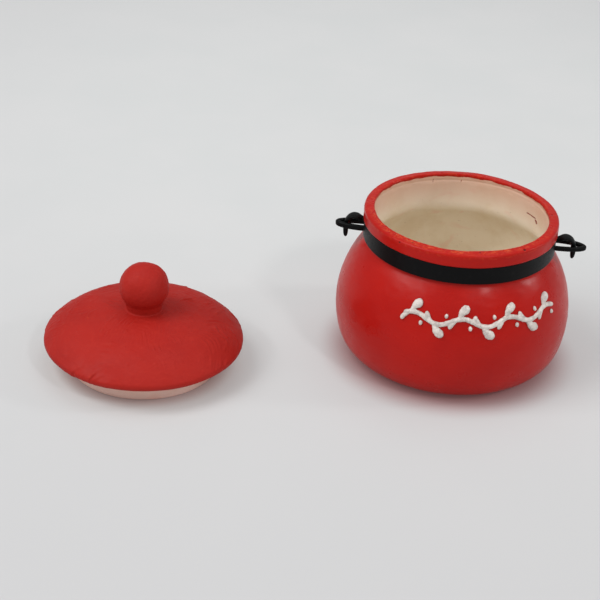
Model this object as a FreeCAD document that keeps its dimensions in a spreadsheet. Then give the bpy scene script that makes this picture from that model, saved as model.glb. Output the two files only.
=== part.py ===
import FreeCAD, Part
import math
import os

import Sketcher

# A ceramic condiment pot with its lid lying beside it.
# Frame: origin at the centre of the pot's foot on the table, +Z up,
# +X along the line through the two ears of the neck band, -Y the front. Millimetres.

SIZES = {
    # pot
    "pot_height": 68.8,
    "belly_radius": 51.1,
    "belly_height": 23.4,
    "lower_wall_radius": 48.0,
    "foot_turn_radius": 17.0,
    "foot_inset": 13.4,
    "pot_wall": 3.5,
    "pot_floor": 4.2,
    "floor_turn_radius": 13.0,
    "mouth_radius": 37.3,
    "neck_wall": 2.6,
    "neck_inner_turn": 5.0,
    "neck_outer_turn": 0.9,
    "rim_height": 6.05,
    "rim_overhang": 1.8,
    "rim_slope": 0.4,
    "rim_outer_round": 1.3,
    "rim_inner_round": 0.9,
    "rim_under_round": 0.5,
    # neck band
    "band_height": 7.65,
    "band_wall": 1.3,
    "band_clearance": 0.15,
    "band_step": 1.1,
    "lap_margin": 0.55,
    "lap_height": 4.0,
    "joint_clearance": 0.2,
    # loops of the front half
    "loop_nose_wall": 4.0,
    "loop_rail": 1.3,
    "loop_nose_width": 4.4,
    "loop_nose_length": 3.6,
    "loop_thickness": 2.2,
    "loop_lift": 0.7,
    "loop_round": 0.7,
    "slot_start": 2.2,
    "slot_side_clearance": 0.5,
    "slot_end_clearance": 1.2,
    # hooks of the back half
    "hook_width": 5.4,
    "hook_thickness": 1.7,
    "hook_crown_reach": 4.2,
    "hook_crown_radius": 3.8,
    "hook_seat": 0.35,
    "hook_root_height": 1.6,
    "hook_leg_length": 7.1,
    "hook_tip_width": 2.4,
    "hook_tip_thickness": 1.2,
    # lid
    "lid_x": -129.8,
    "lid_y": -38.8,
    "lid_overhang": 1.2,
    "lid_edge_radius": 2.0,
    "lid_flange_height": 10.1,
    "lid_flange_clearance": 2.6,
    "lid_flange_taper": 2.3,
    "lid_wall": 3.2,
    "flange_wall": 3.0,
    "flange_round": 0.9,
    "dome_height": 26.2,
    "dome_radius": 110.0,
    "dome_shoulder_radius": 28.0,
    "knob_radius": 10.55,
    "knob_centre_height": 36.3,
    "stem_radius": 7.5,
    "stem_flare": 0.6,
    "stem_turn": 0.9,
}

# Sizes that follow from the driving ones, written once and used by every piece.
NECK_RADIUS = "sizes.mouth_radius + sizes.neck_wall"
RIM_RADIUS = f"{NECK_RADIUS} + sizes.rim_overhang"
RIM_BOTTOM = "sizes.pot_height - sizes.rim_height"
BAND_INNER = f"{NECK_RADIUS} + sizes.band_clearance"
BAND_OUTER = f"{BAND_INNER} + sizes.band_wall"
BAND_TOP = f"{RIM_BOTTOM} - sizes.band_clearance"
BAND_BOTTOM = f"{BAND_TOP} - sizes.band_height"
LOW_LAP_TOP = f"{BAND_BOTTOM} + sizes.lap_height"
HIGH_LAP_BOTTOM = f"{LOW_LAP_TOP} + sizes.joint_clearance"
NECK_BASE = f"{BAND_BOTTOM} - sizes.band_step"
FOOT_RADIUS = "sizes.belly_radius - sizes.foot_inset"
LOOP_BOTTOM = f"{BAND_BOTTOM} + sizes.loop_lift"
CROWN_X = f"{BAND_OUTER} + sizes.hook_crown_reach"
CROWN_Z = f"{LOOP_BOTTOM} + sizes.loop_thickness - sizes.hook_seat"
SLOT_WIDTH = "sizes.hook_width + 2 * sizes.slot_side_clearance"
SLOT_IN = f"{BAND_OUTER} + sizes.slot_start"
SLOT_OUT = f"{CROWN_X} + sizes.hook_crown_radius + sizes.slot_end_clearance"
LOOP_WIDTH = f"{SLOT_WIDTH} + 2 * sizes.loop_rail"
LOOP_REACH = f"{SLOT_OUT} + sizes.loop_nose_wall"
# degrees that a millimetre takes up round the band
BAND_DEGREE = f"360 / (2 * pi * ({BAND_OUTER}))"
LAP_DEGREES = f"(({LOOP_WIDTH}) / 2 + sizes.lap_margin) * {BAND_DEGREE}"
WALL_ANGLE = f"180 - 2 * {LAP_DEGREES}"
LAPPED_ANGLE = f"180 + 2 * {LAP_DEGREES} - 2 * sizes.joint_clearance * {BAND_DEGREE}"
LID_RADIUS = f"{RIM_RADIUS} + sizes.lid_overhang"
LID_EDGE_X = f"{LID_RADIUS} - sizes.lid_edge_radius"
LID_EDGE_Z = "sizes.lid_flange_height + sizes.lid_edge_radius"
FLANGE_ROOT = "sizes.mouth_radius - sizes.lid_flange_clearance"
FLANGE_FOOT = f"{FLANGE_ROOT} - sizes.lid_flange_taper"

doc = FreeCAD.newDocument("condiment_pot")


def make_sheet():
    sheet = doc.addObject("Spreadsheet::Sheet", "sizes")
    for row, (name, value) in enumerate(SIZES.items(), start=1):
        sheet.set(f"A{row}", name)
        sheet.set(f"B{row}", str(value))
        sheet.setAlias(f"B{row}", name)
    doc.recompute()
    return sheet


sheet = make_sheet()


def size(text):
    """The value of an expression in the sheet's sizes."""
    return float(sheet.evalExpression(text.replace("sizes.", "")))


def point(x_text, y_text):
    return FreeCAD.Vector(size(x_text), size(y_text), 0)


# ---------------------------------------------------------------- sketch helpers

def new_body(name):
    body = doc.addObject("PartDesign::Body", name)
    body.Label = name
    return body


def new_sketch(body, name, role, lift=None):
    """A sketch on one of the body's own origin planes, raised along its normal by `lift`."""
    plane = next(item for item in body.Origin.OriginFeatures if item.Role == role)
    sketch = body.newObject("Sketcher::SketchObject", name)
    sketch.AttachmentSupport = [(plane, "")]
    sketch.MapMode = "FlatFace"
    if lift:
        sketch.setExpression("AttachmentOffset.Base.z", lift)
    return sketch


def drive(sketch, kind, refs, text, name):
    """Adds a dimension whose value is bound to the sheet."""
    index = sketch.addConstraint(Sketcher.Constraint(kind, *refs, size(text)))
    sketch.renameConstraint(index, name)
    sketch.setExpression(f"Constraints.{name}", text)


def place(sketch, geo, pos, x_text, y_text, name):
    """Fixes a point of the sketch at two driven coordinates."""
    if x_text:
        drive(sketch, "DistanceX", (-1, 1, geo, pos), x_text, f"{name}_x")
    if y_text:
        drive(sketch, "DistanceY", (-1, 1, geo, pos), y_text, f"{name}_y")


def line(sketch, start, end):
    return sketch.addGeometry(Part.LineSegment(start, end), False)


def arc(sketch, centre, start, end):
    """An arc that runs counter-clockwise from start to end; start sets its radius."""
    radius = (start - centre).Length
    first = math.atan2(start.y - centre.y, start.x - centre.x)
    last = math.atan2(end.y - centre.y, end.x - centre.x)
    if last <= first:
        last += 2 * math.pi
    circle = Part.Circle(centre, FreeCAD.Vector(0, 0, 1), radius)
    return sketch.addGeometry(Part.ArcOfCircle(circle, first, last), False)


def join(sketch, first, first_pos, second, second_pos):
    sketch.addConstraint(Sketcher.Constraint("Coincident", first, first_pos, second, second_pos))


def join_smooth(sketch, first, first_pos, second, second_pos):
    sketch.addConstraint(Sketcher.Constraint("Tangent", first, first_pos, second, second_pos))


def flat(sketch, geo):
    sketch.addConstraint(Sketcher.Constraint("Horizontal", geo))


def upright(sketch, geo):
    sketch.addConstraint(Sketcher.Constraint("Vertical", geo))


def polygon(sketch, corners, name):
    """A closed outline of straight lines, each corner at its own driven coordinates."""
    spots = [point(x_text, y_text) for x_text, y_text in corners]
    edges = [line(sketch, spot, spots[(i + 1) % len(spots)]) for i, spot in enumerate(spots)]
    for i, edge in enumerate(edges):
        join(sketch, edge, 2, edges[(i + 1) % len(edges)], 1)
        place(sketch, edge, 1, *corners[i], f"{name}_{i}")


def revolve(body, name, sketch, angle_text="360", midplane=False):
    turned = body.newObject("PartDesign::Revolution", name)
    turned.Profile = sketch
    turned.ReferenceAxis = (sketch, ["V_Axis"])
    turned.Midplane = midplane
    turned.setExpression("Angle", angle_text)
    doc.recompute()
    return turned


def pad(body, name, sketch, length_text, midplane=False):
    raised = body.newObject("PartDesign::Pad", name)
    raised.Profile = sketch
    raised.Midplane = midplane
    raised.setExpression("Length", length_text)
    doc.recompute()
    return raised


def mirror_right_to_left(body, name, features):
    """Repeats the right-hand features on the left, across the YZ plane."""
    mirrored = body.newObject("PartDesign::Mirrored", name)
    plane = next(item for item in body.Origin.OriginFeatures if item.Role == "YZ_Plane")
    mirrored.Originals = features
    mirrored.MirrorPlane = (plane, [""])
    body.Tip = mirrored
    doc.recompute()
    return mirrored


def ring_edges(shape, radius, height):
    """Names of the full circular edges about the Z axis with this radius and height."""
    found = []
    for number, edge in enumerate(shape.Edges, start=1):
        if edge.Degenerated or not isinstance(edge.Curve, Part.Circle):
            continue
        curve = edge.Curve
        if abs(curve.Radius - radius) < 1e-3 and abs(curve.Center.z - height) < 1e-3:
            found.append(f"Edge{number}")
    return found


def fillet(body, name, base, edges, radius_text):
    if not edges:
        raise RuntimeError(f"{name}: no edge found to round")
    rounded = body.newObject("PartDesign::Fillet", name)
    rounded.Base = (base, edges)
    rounded.setExpression("Radius", radius_text)
    doc.recompute()
    return rounded


def circle_meeting(centre_a, reach_a, centre_b, reach_b, outward):
    """The point at the given distances from two centres, on the side given by `outward`."""
    between = centre_b - centre_a
    gap = between.Length
    along = (reach_a**2 - reach_b**2 + gap**2) / (2 * gap)
    aside = math.sqrt(max(reach_a**2 - along**2, 0.0))
    unit = between / gap
    normal = FreeCAD.Vector(-unit.y, unit.x, 0)
    if normal.dot(outward) < 0:
        normal = normal * -1
    return centre_a + unit * along + normal * aside


def height_on_circle(centre, radius, x):
    return centre.y + math.sqrt(radius**2 - (x - centre.x) ** 2)


# ---------------------------------------------------------------- pot

def pot_outline(sketch):
    """Half section: flat foot, round belly, neck, flat rim and the hollow inside."""
    wall = size("sizes.pot_wall")
    belly = point("sizes.belly_radius", "sizes.belly_height")
    foot = point(FOOT_RADIUS, "0")
    neck = point(NECK_RADIUS, NECK_BASE)
    rim_under = point(NECK_RADIUS, RIM_BOTTOM)
    rim_low = point(RIM_RADIUS, RIM_BOTTOM)
    rim_high = point(RIM_RADIUS, "sizes.pot_height - sizes.rim_slope")
    lip = point("sizes.mouth_radius", "sizes.pot_height")

    # outer arcs: the belly's two arcs share a level tangent at the widest height
    inset = belly.x - neck.x
    rise = neck.y - belly.y
    shoulder_radius = (inset**2 + rise**2) / (2 * inset)
    shoulder_centre = FreeCAD.Vector(belly.x - shoulder_radius, belly.y, 0)
    lower_radius = size("sizes.lower_wall_radius")
    lower_centre = FreeCAD.Vector(belly.x - lower_radius, belly.y, 0)
    turn = size("sizes.foot_turn_radius")
    right_down = FreeCAD.Vector(1, -1, 0)
    turn_centre = circle_meeting(lower_centre, lower_radius - turn, foot, turn, right_down * -1)
    to_turn = (turn_centre - lower_centre).normalize()
    turn_top = lower_centre + to_turn * lower_radius

    # inner arcs, one wall inside
    inner_belly = FreeCAD.Vector(belly.x - wall, belly.y, 0)
    lip_low_z = height_on_circle(shoulder_centre, shoulder_radius - wall, lip.x)
    lip_low = FreeCAD.Vector(lip.x, lip_low_z, 0)
    floor_z = size("sizes.pot_floor")
    inner_turn = size("sizes.floor_turn_radius")
    inner_reach = lower_radius - wall - inner_turn
    inner_drop = lower_centre.y - floor_z - inner_turn
    inner_x = lower_centre.x + math.sqrt(inner_reach**2 - inner_drop**2)
    inner_centre = FreeCAD.Vector(inner_x, floor_z + inner_turn, 0)
    to_inner = (inner_centre - lower_centre).normalize()
    inner_turn_top = lower_centre + to_inner * (lower_radius - wall)
    floor_edge = FreeCAD.Vector(inner_x, floor_z, 0)

    axis_low = point("0", "0")
    axis_high = FreeCAD.Vector(0, floor_z, 0)

    g_foot = line(sketch, axis_low, foot)
    g_turn = arc(sketch, turn_centre, foot, turn_top)
    g_lower = arc(sketch, lower_centre, turn_top, belly)
    g_shoulder = arc(sketch, shoulder_centre, belly, neck)
    g_neck = line(sketch, neck, rim_under)
    g_under = line(sketch, rim_under, rim_low)
    g_side = line(sketch, rim_low, rim_high)
    g_top = line(sketch, rim_high, lip)
    g_mouth = line(sketch, lip, lip_low)
    g_in_shoulder = arc(sketch, shoulder_centre, inner_belly, lip_low)
    g_in_lower = arc(sketch, lower_centre, inner_turn_top, inner_belly)
    g_in_turn = arc(sketch, inner_centre, floor_edge, inner_turn_top)
    g_floor = line(sketch, floor_edge, axis_high)
    g_axis = line(sketch, axis_high, axis_low)

    join(sketch, g_foot, 2, g_turn, 1)
    join_smooth(sketch, g_turn, 2, g_lower, 1)
    join_smooth(sketch, g_lower, 2, g_shoulder, 1)
    join(sketch, g_shoulder, 2, g_neck, 1)
    join(sketch, g_neck, 2, g_under, 1)
    join(sketch, g_under, 2, g_side, 1)
    join(sketch, g_side, 2, g_top, 1)
    join(sketch, g_top, 2, g_mouth, 1)
    join(sketch, g_mouth, 2, g_in_shoulder, 2)
    join_smooth(sketch, g_in_shoulder, 1, g_in_lower, 2)
    join_smooth(sketch, g_in_lower, 1, g_in_turn, 2)
    join_smooth(sketch, g_in_turn, 1, g_floor, 1)
    join(sketch, g_floor, 2, g_axis, 1)
    join(sketch, g_axis, 2, g_foot, 1)
    for geo in (g_foot, g_under, g_floor):
        flat(sketch, geo)
    for geo in (g_neck, g_side, g_mouth, g_axis):
        upright(sketch, geo)
    # the hollow's arcs keep the outside's centres
    join(sketch, g_shoulder, 3, g_in_shoulder, 3)
    join(sketch, g_lower, 3, g_in_lower, 3)

    place(sketch, g_foot, 1, "0", "0", "axis_low")
    place(sketch, g_turn, 1, FOOT_RADIUS, None, "foot")
    drive(sketch, "Radius", (g_turn,), "sizes.foot_turn_radius", "foot_turn")
    place(sketch, g_lower, 2, "sizes.belly_radius", "sizes.belly_height", "belly")
    place(sketch, g_lower, 3, None, "sizes.belly_height", "lower_centre")
    drive(sketch, "Radius", (g_lower,), "sizes.lower_wall_radius", "lower_wall")
    place(sketch, g_neck, 1, NECK_RADIUS, NECK_BASE, "neck")
    place(sketch, g_side, 1, RIM_RADIUS, RIM_BOTTOM, "rim_low")
    place(sketch, g_top, 1, None, "sizes.pot_height - sizes.rim_slope", "rim_high")
    place(sketch, g_mouth, 1, "sizes.mouth_radius", "sizes.pot_height", "lip")
    place(sketch, g_in_lower, 2, "sizes.belly_radius - sizes.pot_wall", None, "hollow")
    drive(sketch, "Radius", (g_in_turn,), "sizes.floor_turn_radius", "floor_turn")
    place(sketch, g_floor, 2, None, "sizes.pot_floor", "floor")
    return lip_low_z


def make_pot():
    body = new_body("pot_body")
    sketch = new_sketch(body, "pot_section", "XZ_Plane")
    inner_neck_z = pot_outline(sketch)
    feature = revolve(body, "pot_turned", sketch)
    mouth = size("sizes.mouth_radius")
    rim = size(RIM_RADIUS)
    neck = size(NECK_RADIUS)
    height = size("sizes.pot_height")
    rounds = (
        ("neck_inside", mouth, inner_neck_z, "sizes.neck_inner_turn"),
        ("neck_outside", neck, size(NECK_BASE), "sizes.neck_outer_turn"),
        ("rim_outside", rim, height - size("sizes.rim_slope"), "sizes.rim_outer_round"),
        ("rim_inside", mouth, height, "sizes.rim_inner_round"),
        ("rim_underside", rim, size(RIM_BOTTOM), "sizes.rim_under_round"),
    )
    for name, radius, level, radius_text in rounds:
        edges = ring_edges(feature.Shape, radius, level)
        feature = fillet(body, name, feature, edges, radius_text)
    body.Tip = feature
    return body


# ---------------------------------------------------------------- neck band

def band_wall(body, name, low_text, high_text, front, angle_text):
    """A length of the band's wall, turned about the pot's axis, centred on the front or back."""
    sketch = new_sketch(body, f"{name}_section", "YZ_Plane")
    sign = "-1 * " if front else "1 * "
    inner = f"{sign}({BAND_INNER})"
    outer = f"{sign}({BAND_OUTER})"
    corners = [(outer, low_text), (inner, low_text), (inner, high_text), (outer, high_text)]
    polygon(sketch, corners, "corner")
    return revolve(body, name, sketch, angle_text, midplane=True)


def loop_outline(sketch):
    """Plan of one loop: a tongue with a blunt nose and a slot for the hook."""
    root = f"{BAND_OUTER} - sizes.band_wall / 2"
    shoulder = f"{LOOP_REACH} - sizes.loop_nose_length"
    half = f"({LOOP_WIDTH}) / 2"
    nose = "sizes.loop_nose_width / 2"
    outline = [
        (root, f"-1 * {half}"),
        (shoulder, f"-1 * {half}"),
        (LOOP_REACH, f"-1 * {nose}"),
        (LOOP_REACH, nose),
        (shoulder, half),
        (root, half),
    ]
    polygon(sketch, outline, "loop")
    side = f"({SLOT_WIDTH}) / 2"
    slot = [(SLOT_IN, f"-1 * {side}"), (SLOT_OUT, f"-1 * {side}"), (SLOT_OUT, side), (SLOT_IN, side)]
    polygon(sketch, slot, "slot")


def loop_corner_edges(shape):
    """The upright edges of both loops' plates, outside and in the slots."""
    beyond = size(BAND_OUTER) + size("sizes.slot_start") / 2
    found = []
    for number, edge in enumerate(shape.Edges, start=1):
        box = edge.BoundBox
        if abs(box.Center.x) > beyond and box.XLength < 1e-6 and box.YLength < 1e-6:
            found.append(f"Edge{number}")
    return found


def make_front_band():
    """Front half: half a ring whose ends run on as low laps, each with a loop standing out."""
    body = new_body("band_front")
    band_wall(body, "front_wall", BAND_BOTTOM, BAND_TOP, True, WALL_ANGLE)
    band_wall(body, "front_laps", BAND_BOTTOM, LOW_LAP_TOP, True, LAPPED_ANGLE)
    sketch = new_sketch(body, "loop_plan", "XY_Plane", LOOP_BOTTOM)
    loop_outline(sketch)
    loop = pad(body, "loop", sketch, "sizes.loop_thickness")
    mirrored = mirror_right_to_left(body, "loops", [loop])
    corners = loop_corner_edges(mirrored.Shape)
    body.Tip = fillet(body, "loop_corners", mirrored, corners, "sizes.loop_round")
    return body


def hook_outline(sketch):
    """Side view of one hook: a root at the band, a round crown and a leg going down."""
    radius_text = "sizes.hook_crown_radius"
    inner_text = f"{radius_text} - sizes.hook_thickness"
    crown = point(CROWN_X, CROWN_Z)
    outer_radius = size(radius_text)
    inner_radius = size(inner_text)
    root_x = f"{BAND_OUTER} - sizes.band_wall / 2"
    root_low = HIGH_LAP_BOTTOM
    root_top = f"{root_low} + sizes.hook_root_height"
    top = point(root_x, root_top)
    low = point(root_x, root_low)

    def touch(spot, radius):
        """Where a line from spot touches the crown's circle on its upper side."""
        away = crown - spot
        lean = math.atan2(away.y, away.x) + math.asin(radius / away.Length)
        reach = math.sqrt(away.Length**2 - radius**2)
        return spot + FreeCAD.Vector(math.cos(lean), math.sin(lean), 0) * reach

    outer_touch = touch(top, outer_radius)
    inner_touch = touch(low, inner_radius)
    outer_end = crown + FreeCAD.Vector(outer_radius, 0, 0)
    inner_end = crown + FreeCAD.Vector(inner_radius, 0, 0)
    g_root = line(sketch, low, top)
    g_rise = line(sketch, top, outer_touch)
    g_outer = arc(sketch, crown, outer_end, outer_touch)
    g_cut = line(sketch, outer_end, inner_end)
    g_inner = arc(sketch, crown, inner_end, inner_touch)
    g_under = line(sketch, inner_touch, low)
    join(sketch, g_root, 2, g_rise, 1)
    join_smooth(sketch, g_rise, 2, g_outer, 2)
    join(sketch, g_outer, 1, g_cut, 1)
    join(sketch, g_cut, 2, g_inner, 1)
    join_smooth(sketch, g_inner, 2, g_under, 1)
    join(sketch, g_under, 2, g_root, 1)
    join(sketch, g_outer, 3, g_inner, 3)
    flat(sketch, g_cut)
    place(sketch, g_outer, 3, CROWN_X, CROWN_Z, "crown")
    place(sketch, g_outer, 1, None, CROWN_Z, "crown_end")
    drive(sketch, "Radius", (g_outer,), radius_text, "crown_outer")
    drive(sketch, "Radius", (g_inner,), inner_text, "crown_inner")
    place(sketch, g_root, 2, root_x, root_top, "root_top")
    place(sketch, g_root, 1, root_x, root_low, "root_low")


def leg_section(body, name, lift, thickness, width):
    """A level rectangle across the hook's leg, on the leg's centre line."""
    sketch = new_sketch(body, name, "XY_Plane", lift)
    middle = f"{CROWN_X} + sizes.hook_crown_radius - sizes.hook_thickness / 2"
    left = f"{middle} - {thickness} / 2"
    right = f"{middle} + {thickness} / 2"
    low = f"-1 * {width} / 2"
    high = f"{width} / 2"
    polygon(sketch, [(left, low), (right, low), (right, high), (left, high)], "leg")
    return sketch


def make_back_band():
    """Back half: half a ring whose ends run on as high laps, each with a hook over the loop."""
    body = new_body("band_back")
    band_wall(body, "back_wall", BAND_BOTTOM, BAND_TOP, False, WALL_ANGLE)
    band_wall(body, "back_laps", HIGH_LAP_BOTTOM, BAND_TOP, False, LAPPED_ANGLE)
    sketch = new_sketch(body, "hook_side", "XZ_Plane")
    hook_outline(sketch)
    hook = pad(body, "hook", sketch, "sizes.hook_width", midplane=True)
    upper = leg_section(body, "leg_top", CROWN_Z, "sizes.hook_thickness", "sizes.hook_width")
    tip_z = f"{CROWN_Z} - sizes.hook_leg_length"
    tip = leg_section(body, "leg_tip", tip_z, "sizes.hook_tip_thickness", "sizes.hook_tip_width")
    leg = body.newObject("PartDesign::AdditiveLoft", "leg")
    leg.Profile = upper
    leg.Sections = [tip]
    leg.Ruled = True
    doc.recompute()
    mirror_right_to_left(body, "hooks", [hook, leg])
    return body


# ---------------------------------------------------------------- lid

def lid_outline(sketch):
    """Half section: ball knob on a short stem, domed plate, and a flange that drops in the mouth."""
    wall = size("sizes.lid_wall")
    knob = point("0", "sizes.knob_centre_height")
    knob_radius = size("sizes.knob_radius")
    stem = size("sizes.stem_radius")
    stem_top = stem + size("sizes.stem_flare")
    stem_top_z = knob.y - math.sqrt(knob_radius**2 - stem_top**2)
    dome_radius = size("sizes.dome_radius")
    dome_centre = FreeCAD.Vector(0, size("sizes.dome_height") - dome_radius, 0)
    stem_low = FreeCAD.Vector(stem, height_on_circle(dome_centre, dome_radius, stem), 0)
    stem_high = FreeCAD.Vector(stem_top, stem_top_z, 0)
    edge = point(LID_EDGE_X, LID_EDGE_Z)
    edge_radius = size("sizes.lid_edge_radius")
    round_radius = size("sizes.dome_shoulder_radius")
    up = FreeCAD.Vector(-1, 1, 0)
    round_centre = circle_meeting(
        dome_centre, dome_radius - round_radius, edge, round_radius - edge_radius, up
    )
    to_round = (round_centre - dome_centre).normalize()
    to_edge = (edge - round_centre).normalize()
    dome_end = dome_centre + to_round * dome_radius
    round_end = round_centre + to_edge * round_radius
    edge_low = FreeCAD.Vector(edge.x, edge.y - edge_radius, 0)
    root = point(FLANGE_ROOT, "sizes.lid_flange_height")
    foot = point(FLANGE_FOOT, "0")
    inner_foot = point(f"{FLANGE_FOOT} - sizes.flange_wall", "0")
    inner_x = inner_foot.x
    inner_top = FreeCAD.Vector(
        inner_x, height_on_circle(round_centre, round_radius - wall, inner_x), 0
    )
    inner_dome_end = dome_centre + to_round * (dome_radius - wall)
    axis_low = FreeCAD.Vector(0, size("sizes.dome_height") - wall, 0)
    axis_top = FreeCAD.Vector(0, knob.y + knob_radius, 0)

    g_knob = arc(sketch, knob, stem_high, axis_top)
    g_stem = line(sketch, stem_high, stem_low)
    g_dome = arc(sketch, dome_centre, dome_end, stem_low)
    g_round = arc(sketch, round_centre, round_end, dome_end)
    g_edge = arc(sketch, edge, edge_low, round_end)
    g_under = line(sketch, edge_low, root)
    g_flange = line(sketch, root, foot)
    g_foot = line(sketch, foot, inner_foot)
    g_inside = line(sketch, inner_foot, inner_top)
    g_in_round = arc(sketch, round_centre, inner_top, inner_dome_end)
    g_in_dome = arc(sketch, dome_centre, inner_dome_end, axis_low)
    g_axis = line(sketch, axis_low, axis_top)

    join(sketch, g_knob, 1, g_stem, 1)
    join(sketch, g_stem, 2, g_dome, 2)
    join_smooth(sketch, g_dome, 1, g_round, 2)
    join_smooth(sketch, g_round, 1, g_edge, 2)
    join_smooth(sketch, g_edge, 1, g_under, 1)
    join(sketch, g_under, 2, g_flange, 1)
    join(sketch, g_flange, 2, g_foot, 1)
    join(sketch, g_foot, 2, g_inside, 1)
    join(sketch, g_inside, 2, g_in_round, 1)
    join_smooth(sketch, g_in_round, 2, g_in_dome, 1)
    join(sketch, g_in_dome, 2, g_axis, 1)
    join(sketch, g_axis, 2, g_knob, 2)
    join(sketch, g_dome, 3, g_in_dome, 3)
    join(sketch, g_round, 3, g_in_round, 3)
    for geo in (g_under, g_foot):
        flat(sketch, geo)
    for geo in (g_inside, g_axis):
        upright(sketch, geo)

    place(sketch, g_knob, 3, "0", "sizes.knob_centre_height", "knob")
    drive(sketch, "Radius", (g_knob,), "sizes.knob_radius", "knob_radius")
    place(sketch, g_knob, 1, "sizes.stem_radius + sizes.stem_flare", None, "stem_high")
    place(sketch, g_stem, 2, "sizes.stem_radius", None, "stem_low")
    place(sketch, g_dome, 3, "0", "sizes.dome_height - sizes.dome_radius", "dome_centre")
    drive(sketch, "Radius", (g_dome,), "sizes.dome_radius", "dome_radius")
    drive(sketch, "Radius", (g_round,), "sizes.dome_shoulder_radius", "round_radius")
    place(sketch, g_edge, 3, LID_EDGE_X, LID_EDGE_Z, "edge")
    drive(sketch, "Radius", (g_edge,), "sizes.lid_edge_radius", "edge_radius")
    place(sketch, g_flange, 1, FLANGE_ROOT, None, "root")
    place(sketch, g_flange, 2, FLANGE_FOOT, "0", "foot")
    place(sketch, g_foot, 2, f"{FLANGE_FOOT} - sizes.flange_wall", None, "inner_foot")
    place(sketch, g_in_dome, 2, "0", "sizes.dome_height - sizes.lid_wall", "axis_low")
    return stem_low.y, stem_top_z


def make_lid():
    body = new_body("lid")
    sketch = new_sketch(body, "lid_section", "XZ_Plane")
    stem_low_z, stem_top_z = lid_outline(sketch)
    feature = revolve(body, "lid_turned", sketch)
    stem = size("sizes.stem_radius")
    foot = size(FLANGE_FOOT)
    root = size(FLANGE_ROOT)
    rounds = (
        ("stem_base", stem, stem_low_z, "sizes.stem_turn"),
        ("stem_head", stem + size("sizes.stem_flare"), stem_top_z, "sizes.stem_turn"),
        ("flange_foot", foot, 0.0, "sizes.flange_round"),
        ("flange_inner_foot", foot - size("sizes.flange_wall"), 0.0, "sizes.flange_round"),
        ("flange_root", root, size("sizes.lid_flange_height"), "sizes.flange_round"),
    )
    for name, radius, level, radius_text in rounds:
        edges = ring_edges(feature.Shape, radius, level)
        feature = fillet(body, name, feature, edges, radius_text)
    body.Tip = feature
    body.setExpression("Placement.Base.x", "sizes.lid_x")
    body.setExpression("Placement.Base.y", "sizes.lid_y")
    return body


# ---------------------------------------------------------------- check and write

def check(bodies):
    for item in doc.Objects:
        bad = [state for state in item.State if state in ("Invalid", "Error")]
        if bad:
            raise RuntimeError(f"{item.Name} failed: {bad}")
    for body in bodies:
        shape = body.Shape
        if shape.isNull() or not shape.isValid():
            raise RuntimeError(f"{body.Label}: no valid shape")
        if len(shape.Solids) != 1:
            raise RuntimeError(f"{body.Label}: {len(shape.Solids)} solids instead of one")


bodies = [make_pot(), make_front_band(), make_back_band(), make_lid()]
doc.recompute()
check(bodies)
os.makedirs("parts", exist_ok=True)
for body in bodies:
    body.Shape.exportStep(f"parts/{body.Label}.step")
    box = body.Shape.BoundBox
    print(f"{body.Label}: volume {body.Shape.Volume:.0f}, box {box}")
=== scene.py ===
"""Looks of the ceramic condiment pot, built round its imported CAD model.

Lengths are written in millimetres and become metres when a mesh is made. Only the lamps, the
camera and the floor's far shading are written in metres. The origin is the middle of the pot's foot,
+Z is up, +X runs along the line of the two ears and -Y is the front. A bearing is an angle in
degrees about the pot's axis, from the front towards +X.
"""

import math

import bmesh
import bpy
import numpy as np
from mathutils import Matrix, Vector


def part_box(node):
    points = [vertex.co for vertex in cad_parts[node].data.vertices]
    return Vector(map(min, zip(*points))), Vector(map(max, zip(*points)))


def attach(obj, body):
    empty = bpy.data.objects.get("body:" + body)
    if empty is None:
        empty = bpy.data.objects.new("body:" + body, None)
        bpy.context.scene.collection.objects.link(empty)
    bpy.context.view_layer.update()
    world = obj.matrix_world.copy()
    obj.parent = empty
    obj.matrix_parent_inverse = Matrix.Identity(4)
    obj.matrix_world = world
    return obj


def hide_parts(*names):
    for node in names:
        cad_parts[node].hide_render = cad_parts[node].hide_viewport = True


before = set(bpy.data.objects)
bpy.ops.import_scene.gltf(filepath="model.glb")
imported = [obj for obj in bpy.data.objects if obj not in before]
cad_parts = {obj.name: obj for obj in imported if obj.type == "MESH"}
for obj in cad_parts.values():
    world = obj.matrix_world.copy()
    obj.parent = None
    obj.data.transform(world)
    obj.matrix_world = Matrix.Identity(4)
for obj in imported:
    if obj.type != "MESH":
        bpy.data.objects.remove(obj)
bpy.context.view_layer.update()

MM = 0.001
BODY = "root"

# pot, as in the CAD model
BELLY_HEIGHT = 23.4
LOWER_WALL_RADIUS = 48.0
FOOT_INSET = 13.4
FOOT_TURN_RADIUS = 17.0
FOOT_ROUND = 0.5
POT_WALL = 3.5
POT_FLOOR = 4.2
FLOOR_TURN_RADIUS = 13.0
MOUTH_RADIUS = 37.3
NECK_WALL = 2.6
NECK_RADIUS = MOUTH_RADIUS + NECK_WALL
NECK_TURN = 0.9
NECK_INNER_TURN = 3.0
RIM_HEIGHT = 6.05
RIM_OVERHANG = 1.8
RIM_SLOPE = 0.4
RIM_OUTER_ROUND = 1.3
RIM_INNER_ROUND = 0.9
RIM_UNDER_ROUND = 0.5
NECK_BASE = 53.85
LIP_DEPTH = 4.5

# lid, as in the CAD model
LID_EDGE_RADIUS = 2.0
FLANGE_HEIGHT = 10.1
FLANGE_CLEARANCE = 2.6
FLANGE_TAPER = 2.3
FLANGE_WALL = 3.0
FLANGE_ROUND = 0.9
FLANGE_INNER_TURN = 2.0
LID_WALL = 3.2
DOME_HEIGHT = 26.2
DOME_RADIUS = 110.0
DOME_SHOULDER_RADIUS = 28.0
KNOB_RADIUS = 10.55
KNOB_HEIGHT = 36.3
STEM_RADIUS = 7.5
STEM_FLARE = 0.6
STEM_TURN = 0.9
STEM_CREASE = 0.4

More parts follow.
